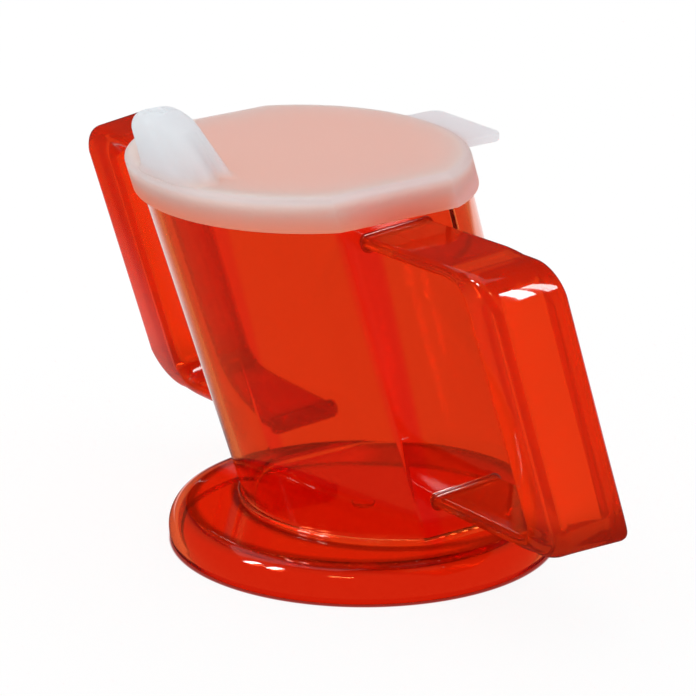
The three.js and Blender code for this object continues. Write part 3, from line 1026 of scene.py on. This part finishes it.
@dataclass
class Lid:
    """Press-on lid: panel, skirt, sealing lip, leaning spout and pull tab in one moulding.

    The spout's base and tip and its mouth are a width and a depth. A step of the mouth's flare is its height
    from the spout's tip and its growth.
    """

    body: CupBody
    fit: float = 0.3
    panel: float = 2.0
    panel_land: float = 4.0
    edge_round: float = 1.6
    edge_land: float = 0.2
    sharper: float = 3.6
    skirt_wall: float = 1.5
    skirt_depth: float = 6.7
    lip_wall: float = 1.2
    lip_depth: float = 3.0
    spout_height: float = 16.0
    spout_wall: float = 1.5
    spout_base: Pair = (24.4, 17.0)
    spout_tip: Pair = (14.0, 14.0)
    spout_edge: float = 1.3
    spout_setback: float = 0.43
    crown_rise: float = 4.8
    crown_round: float = 3.4
    spout_fillet: float = 1.4
    squareness: float = 0.7
    pinch: float = 0.27
    pinch_at: float = 0.7
    pinch_spread: float = 0.125
    spout_facets: int = 160
    mouth: Pair = (5.0, 3.0)
    mouth_flare: tuple[Pair, ...] = ((-0.5, 0.0), (-0.15, 0.12), (0.1, 0.45), (2.0, 0.45))
    mouth_facets: int = 64
    tab_width: float = 26.0
    tab_reach: float = 10.0
    tab_thickness: float = 2.0
    tab_drop: float = 1.5
    tab_round: float = 3.0
    tab_root: float = 2.5
    tab_lap: float = 1.1
    tab_ease: float = 0.5
    sharp_degrees: float = 32.0

    @property
    def underside(self) -> float:
        """Height of the panel's underside, just above the rim."""
        return self.body.rim_height + self.fit

    @property
    def top(self) -> float:
        """Height of the panel's top."""
        return self.underside + self.panel

    @property
    def skirt(self) -> float:
        """Distance of the skirt's outside from the rim's outside."""
        return self.fit + self.skirt_wall

    @property
    def crown_start(self) -> float:
        """Height at which the spout's crown starts."""
        return self.top + self.spout_height - self.crown_rise

    def shell(self) -> Surface:
        """Panel, edge, skirt and lip as loops of the rim's outline, from the lip's inside to the panel's top.

        The lower ends of the lip and the skirt are half circles, and the panel's edge is a quarter circle.

        Returns:
            The closed surface.
        """
        lip_out = -(self.body.wall + self.fit)
        lip_in = lip_out - self.lip_wall
        edge = arc(0, QUARTER_TURN, steps=14)[:, ::-1]
        tip = arc(HALF_TURN, FULL_TURN, steps=10)[:, ::-1]
        lip, skirt = (
            [self.underside - depth, inside + wall / 2] + wall / 2 * (tip + [1, 0])
            for depth, inside, wall in (
                (self.lip_depth, lip_in, self.lip_wall),
                (self.skirt_depth, self.fit, self.skirt_wall),
            )
        )
        pairs = np.concatenate(
            [
                [[self.underside, lip_in - self.panel_land], [self.underside, lip_in]],
                lip,
                [[self.underside, lip_out], [self.underside, self.fit]],
                skirt,
                [self.top, self.skirt] - self.edge_round * (1 - edge),
                [[self.top, self.skirt - self.edge_round - self.edge_land]],
                [[self.top, lip_in - self.panel_land]],
            ]
        )
        rim = np.full(len(pairs), self.body.rim_height)
        return Surface.lofted(self.body.loops(pairs[:, 0], pairs[:, 1], rim, self.sharper))

    def front(self, z: Array | float) -> Array:
        """Y of the lid's front edge carried up along the lean."""
        return self.body.axis_y(z) - self.body.rim_radius - self.skirt

    def spout_loops(self, z: Array, inset: Array, limit: float) -> Array:
        """Superellipse loops of the spout between its leaning front and its back.

        x = half width * sign(cos) * |cos|^s and y likewise with the sine about the middle. As s is under 1,
        the loop is squarer than an ellipse. Width and depth shrink evenly with height. Near the root the
        flanks are pinched in before the back edge by a bell curve of the share from front to back.

        Args:
            z: height of each loop.
            inset: distance by which each loop is drawn in.
            limit: furthest forward that a loop's front may reach.

        Returns:
            Array of loops by points by three.
        """
        share = ((z - self.top) / (self.crown_start - self.top))[:, None]
        base, tip = np.array(self.spout_base), np.array(self.spout_tip)
        width, depth = np.split(base + (tip - base) * share, 2, axis=1)
        raw = (self.front(z) + self.spout_setback)[:, None]
        inset = inset[:, None]
        front = np.maximum(raw + inset, limit)
        back = raw + depth - inset
        turn = np.linspace(0, FULL_TURN, self.spout_facets, endpoint=False)[None, :]
        bent_x, bent_y = (np.sign(v) * np.abs(v) ** self.squareness for v in (np.cos(turn), np.sin(turn)))
        x = (width / 2 - inset) * bent_x
        y = (front + back) / 2 + (back - front) / 2 * bent_y
        off = ((y - raw) / depth - self.pinch_at) / self.pinch_spread
        pinch = self.pinch * np.clip(1 - share, 0, 1) * np.exp(-(off**2))
        return columns(x * (1 - pinch), y, z[:, None])

    def crown(self, wall: float) -> tuple[Array, Array]:
        """Heights and insets of the spout's rounded crown: quarter ellipses over its rise and its rounding.

        Args:
            wall: how far in the crown lies, 0 for its outside.

        Returns:
            The heights and the insets of its loops.
        """
        rise, drawn = self.crown_rise - wall, self.crown_round - wall
        bend = arc(0, QUARTER_TURN, steps=12)
        return self.crown_start + rise * bend[:, 1], wall + drawn * (1 - bend[:, 0])

    def spout_outside(self) -> Surface:
        """Outside of the spout with its root fillet, a quarter circle, sunk into the panel.

        Returns:
            The closed surface.
        """
        limit = float(self.front(self.top)) + self.spout_edge
        bend = self.spout_fillet * (1 + arc(HALF_TURN, 1.5 * HALF_TURN, steps=8))
        root_z = np.concatenate([[self.top - self.panel / 2], self.top + bend[:, 0]])
        root_inset = np.concatenate([[-self.spout_fillet], -bend[:, 1]])
        root = self.spout_loops(root_z, root_inset, limit)
        crown = self.spout_loops(*self.crown(0), -math.inf)
        return Surface.lofted(np.concatenate([root, crown]))

    def spout_inside(self) -> Surface:
        """Inside of the spout, open through the panel behind the lip.

        Returns:
            The closed surface.
        """
        body = self.body
        lip_in = body.rim_radius - body.wall - 2 * self.fit - self.lip_wall
        limit = float(body.axis_y(self.underside)) - lip_in
        root_z = np.array([self.underside - self.fit, self.top])
        root = self.spout_loops(root_z, np.full(2, self.spout_wall), limit)
        crown = self.spout_loops(*self.crown(self.spout_wall), -math.inf)
        return Surface.lofted(np.concatenate([root, crown]))

    def mouth_plug(self) -> Surface:
        """Oval plug that opens the spout's crown: x = a * cosine, y = b * sine, wider at the top.

        Returns:
            The closed surface.
        """
        tip_z = self.top + self.spout_height
        slope = (self.spout_tip[1] - self.spout_base[1]) / (self.crown_start - self.top)
        depth = self.spout_tip[1] + slope * self.crown_rise
        middle = float(self.front(tip_z)) + self.spout_setback + depth / 2
        turn = np.linspace(0, FULL_TURN, self.mouth_facets, endpoint=False)
        rise, grow = np.array([(-2 * self.spout_wall, 0.0), *self.mouth_flare]).T[..., None]
        x = (self.mouth[0] / 2 + grow) * np.cos(turn)
        y = middle + (self.mouth[1] / 2 + grow) * np.sin(turn)
        return Surface.lofted(columns(x, y, tip_z + rise))

    def tab_outline(self) -> Array:
        """Outline of the pull tab about the lid's middle: straight sides, rounded corners, swept root.

        Returns:
            Its points as rows of x and y.
        """
        radius = self.body.rim_radius + self.skirt
        half = self.tab_width / 2
        root = half + self.tab_root
        seat = radius - self.tab_lap
        angle = math.acos(root / seat)
        side = radius * math.sin(angle) + self.tab_root
        end = radius + self.tab_reach
        sweep = arc(1.5 * HALF_TURN, HALF_TURN, steps=10) * self.tab_root + [root, side]
        tip = arc(0, QUARTER_TURN, steps=12) * self.tab_round + [half - self.tab_round, end - self.tab_round]
        right = np.concatenate([[[root, seat * math.sin(angle)]], sweep, tip])
        inner = arc(HALF_TURN - angle, angle, steps=24)[1:-1] * seat
        return np.concatenate([right, right[::-1] * [-1, 1], inner])

    def tab(self) -> Surface:
        """Tab plate with its edges eased: the outline drawn in near its faces, by a quarter round.

        Returns:
            The closed surface.
        """
        outline = self.tab_outline()
        middle = self.top - self.tab_drop - self.tab_thickness / 2
        following = np.roll(outline, -1, axis=0) - np.roll(outline, 1, axis=0)
        normal = following[:, ::-1] * [1, -1]
        normal /= np.maximum(np.linalg.norm(normal, axis=1, keepdims=True), TINY)
        bend = arc(-QUARTER_TURN, 0, steps=6)
        drawn = self.tab_ease * (1 - bend[:, 0])
        rise = self.tab_ease * (1 + bend[:, 1]) - self.tab_thickness / 2
        flat = outline - normal * np.concatenate([drawn, drawn[::-1]])[:, None, None]
        z = middle + np.concatenate([rise, -rise[::-1]])[:, None]
        return Surface.lofted(columns(flat[..., 0], flat[..., 1] + self.body.axis_y(middle), z))

    def build(self, material: Material) -> Object:
        """Makes the lid and puts it in its node's place. It isn't mirrored in the polished cup.

        Args:
            material: its finish.

        Returns:
            The piece.
        """
        thing = self.shell().to_object("milky_lid")
        steps = [
            ("UNION", self.tab().to_object("lid_tab")),
            ("UNION", self.spout_outside().to_object("lid_spout")),
            ("DIFFERENCE", self.spout_inside().to_object("lid_bore")),
            ("DIFFERENCE", self.mouth_plug().to_object("lid_mouth")),
        ]
        thing = combined(thing, steps, self.sharp_degrees)
        thing.visible_glossy = False
        return dress(thing, material, "lid", "lid")


@dataclass(frozen=True)
class Lamp:
    """Lamp a metre away from the cup: its direction, its width and height in metres, and its light.

    A pane only shows as a glint in polished edges. The others light the cup.
    """

    name: str
    direction: Triple
    size: Pair
    power: float
    pane: bool = False
    colour: str = WHITE

    def build(self, middle: Vector) -> None:
        """Puts the lamp in its place, aimed at the cup's middle.

        Args:
            middle: the cup's middle, in metres.
        """
        data = bpy.data.lights.new(self.name, "AREA")
        data.shape = "RECTANGLE"
        data.size, data.size_y = self.size
        data.energy = self.power
        data.color = linear(self.colour)[:3]
        lamp = placed(self.name, data)
        away = Vector(self.direction).normalized()
        lamp.location = middle + away
        lamp.rotation_mode = "QUATERNION"
        lamp.rotation_quaternion = away.to_track_quat("Z", "Y")
        lamp.visible_diffuse = not self.pane


@dataclass(frozen=True)
class Studio:
    """White sweep behind the cup, a dim room in front of it, soft lamps and the camera.

    The cup's middle, the floor's half width and drop, the white patch and the clip are in metres. The spans
    of the ground under the foot count outwards from the foot's radius.
    """

    foot: Foot
    middle: Triple = (0.0, 0.0, 0.055)
    camera_from_foot: Triple = (771.8, -571.6, 373.6)
    forward: Triple = (-0.7631, 0.5606, -0.3219)
    lens: float = 220.1
    sensor: float = 36.0
    clip: Pair = (0.05, 50.0)
    floor_half: float = 3.0
    floor_drop: float = 0.0004
    floor_colour: str = "FAFAFA"
    glow_share: float = 0.9
    room: float = 0.03
    fill: float = 0.98
    patch_behind: float = 0.26
    patch_right: float = 0.06
    patch_span: Pair = (0.25, 0.18)
    under_span: Pair = (0.2, -0.4)
    contact_span: Pair = (-3.2, -1.4)
    red_light: str = "E15930"
    edge_light: str = "951D12"
    lamps: tuple[Lamp, ...] = (
        Lamp("overhead", (-0.35, -0.1, 1.0), (0.9, 0.9), 1.3),
        Lamp("side_pane", (0.69, 0.33, 0.64), (0.1, 0.42), 2.9, pane=True),
        Lamp("side_pane_back", (0.67, 0.47, 0.62), (0.08, 0.42), 1.4, pane=True),
        Lamp("front_pane_low_left", (-0.34, -0.76, 0.53), (0.1, 0.12), 0.83, pane=True),
        Lamp("front_pane_low_right", (-0.1, -0.8, 0.57), (0.1, 0.12), 0.83, pane=True),
        Lamp("front_pane_high_left", (-0.31, -0.7, 0.62), (0.1, 0.12), 0.83, pane=True),
        Lamp("front_pane_high_right", (-0.09, -0.74, 0.66), (0.1, 0.12), 0.83, pane=True),
        Lamp("room_lamp", (0.49, -0.59, 0.63), (0.22, 0.03), 0.3, pane=True, colour="FFD98A"),
    )

    def camera(self) -> None:
        """Camera at the photograph's place, looking along its forward direction."""
        data = bpy.data.cameras.new("camera")
        data.lens = self.lens
        data.sensor_width = self.sensor
        data.clip_start, data.clip_end = self.clip
        camera = placed("camera", data)
        camera.location = (Vector(self.camera_from_foot) + Vector((0, self.foot.centre_y, 0))) * MM
        camera.rotation_mode = "QUATERNION"
        camera.rotation_quaternion = Vector(self.forward).to_track_quat("-Z", "Y")
        bpy.context.scene.camera = camera

    def seen_light(self, tree: NodeTree, mirrored: Node | float, else_light: float) -> Node:
        """Brightness for each kind of ray: 1 for sight and for rays that come through the plastic.

        Args:
            tree: the node tree.
            mirrored: brightness for mirrored rays.
            else_light: brightness for all other rays, which light the cup.

        Returns:
            The node with the brightness.
        """
        path = add_node(tree, "LightPath")
        rays = {0: path.outputs["Is Camera Ray"], 1: path.outputs["Is Transmission Ray"]}
        seen = add_node(tree, "Math", rays, operation="MAXIMUM")
        lights = {"A": else_light, "B": mirrored}
        other = add_node(tree, "Mix", {"Factor": path.outputs["Is Glossy Ray"], **lights})
        return add_node(tree, "Mix", {"Factor": seen, "A": other, "B": 1.0})

    def world(self) -> None:
        """Sky: white to the eye and through the plastic, a dim room in mirrored rays."""
        world = bpy.data.worlds.new("studio")
        bpy.context.scene.world = world
        tree = bare_tree(world)
        light = self.seen_light(tree, self.room, self.fill)
        sky = add_node(tree, "Background", {"Color": linear(WHITE), "Strength": light})
        add_node(tree, "OutputWorld", {"Surface": sky})

    def floor(self) -> None:
        """White ground with a soft shadow. Mirrored rays see it white behind the cup and dim in front of it.

        Under the foot it is lit red by the cup, darkest close inside the foot's edge.
        """
        corners = np.array([[-1, -1, 0], [1, -1, 0], [1, 1, 0], [-1, 1, 0]]) * self.floor_half
        mesh = bpy.data.meshes.new("floor")
        mesh.from_pydata((corners - [0, 0, self.floor_drop]).tolist(), [], [[0, 1, 2, 3]])
        floor = placed("floor", mesh)
        material = bpy.data.materials.new("white_sweep")
        tree = bare_tree(material)
        ground = add_node(tree, "NewGeometry").outputs["Position"]
        level = Vector((self.forward[0], self.forward[1], 0)).normalized()
        right = Vector((level.y, -level.x, 0))
        patch = level * self.patch_behind + right * self.patch_right
        behind, away = (
            add_node(tree, "VectorMath", {0: ground, 1: middle}, operation="DISTANCE")
            for middle in (patch, (0, self.foot.centre_y * MM, 0))
        )
        ranges = (
            (behind, self.patch_span, self.room),
            (away, [(self.foot.radius + past) * MM for past in self.under_span], 0.0),
            (away, [(self.foot.radius + past) * MM for past in self.contact_span], 0.0),
        )
        mirrored, under, contact = (
            add_node(
                tree,
                "MapRange",
                {"Value": way, "From Min": start, "From Max": full, "To Min": least},
                interpolation_type="SMOOTHSTEP",
            )
            for way, (start, full), least in ranges
        )
        tints = {"A": linear(self.red_light), "B": linear(self.edge_light)}
        shaded = add_node(tree, "Mix", {"Factor": contact, **tints}, data_type="RGBA")
        lit = add_node(tree, "Mix", {"Factor": under, "A": linear(WHITE), "B": shaded}, data_type="RGBA")
        glow = add_node(tree, "Emission", {"Color": lit, "Strength": self.seen_light(tree, mirrored, 0.0)})
        matte = add_node(tree, "BsdfDiffuse", {"Color": linear(self.floor_colour)})
        path = add_node(tree, "LightPath")
        shares = {"To Min": 1.0, "To Max": self.glow_share}
        shown = add_node(tree, "MapRange", {"Value": path.outputs["Is Camera Ray"], **shares})
        share = add_node(tree, "Mix", {"Factor": path.outputs["Is Diffuse Ray"], "A": shown, "B": 0.0})
        both = add_node(tree, "MixShader", {0: share, 1: matte, 2: glow})
        add_node(tree, "OutputMaterial", {"Surface": both})
        mesh.materials.append(material)

    def build(self) -> None:
        """Sets up camera, sky, floor and lamps."""
        self.camera()
        self.world()
        self.floor()
        for lamp in self.lamps:
            lamp.build(Vector(self.middle))


def main() -> None:
    """Builds the studio and every piece of the cup, in order."""
    logging.basicConfig(level=logging.INFO, format="%(name)s: %(message)s")
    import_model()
    low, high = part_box("foot")
    scene = bpy.context.scene
    scene.view_settings.view_transform = "Standard"
    scene.cycles.max_bounces = LIGHT_BOUNCES
    scene.cycles.transmission_bounces = LIGHT_BOUNCES
    scene.cycles.glossy_bounces = LIGHT_BOUNCES
    scene.cycles.blur_glossy = 0.0

    foot = Foot(centre_y=(low.y + high.y) / 2 / MM)
    body = CupBody(foot)
    handle = Handle(body)
    lid = Lid(body)
    Studio(foot).build()

    strips = FlatShadeStrips(body.lean, axis_y=float(body.axis_y(0)))
    wall_red = ClearRedPlastic("clear_red_wall", skin_tint="EE7542", painted_shade_tint="EF4E3E", zones=strips)
    bead_y = float(body.axis_y(foot.height))
    rings = FootShadeRings(foot.centre_y, foot.plate_radius, bead_y, bead_radius=body.foot_radius + body.bead)
    foot_red = ClearRedPlastic("clear_red_foot", skin_tint="F26234", painted_shade_tint="8E2E18", zones=rings)
    pieces = [foot.build(foot_red.make()), body.build(wall_red.make())]

    middle_z = (handle.top + handle.bottom) / 2
    root_x = float(body.flat_at(handle.root_top))
    # The near handle's arms get most of the painted shade; the far one's, seen through the body, get little.
    for side, arm_shade_share, painted_shade_tint in ((Side.RIGHT, 0.85, "C43410"), (Side.LEFT, 0.12, "D63B13")):
        bar_red = ClearRedPlastic(
            f"clear_red_{side.value}_bar",
            skin_tint="F74415",
            painted_shade_tint=painted_shade_tint,
            zones=BarShadeZones(middle_z, root_x, handle.bend_x, arm_shade_share),
            deep_tint="F9E0D2",
            deep_at=17.0,
            roughness=0.05,
            clearness=0.72,
        )
        pieces.append(handle.build(side, bar_red.make()))

    middle = (0.0, float(body.axis_y(lid.top)), lid.top)
    flat_reach = float(body.flat_at(body.rim_height)) + lid.skirt
    milky = MilkyPolyethylene(middle, lid.top, body.rim_radius + lid.skirt, flat_reach)
    pieces.append(lid.build(milky.make()))
    for piece in pieces:
        LOG.info("%s: %d faces", piece.name, len(piece.data.polygons))


if __name__ == "__main__":
    main()
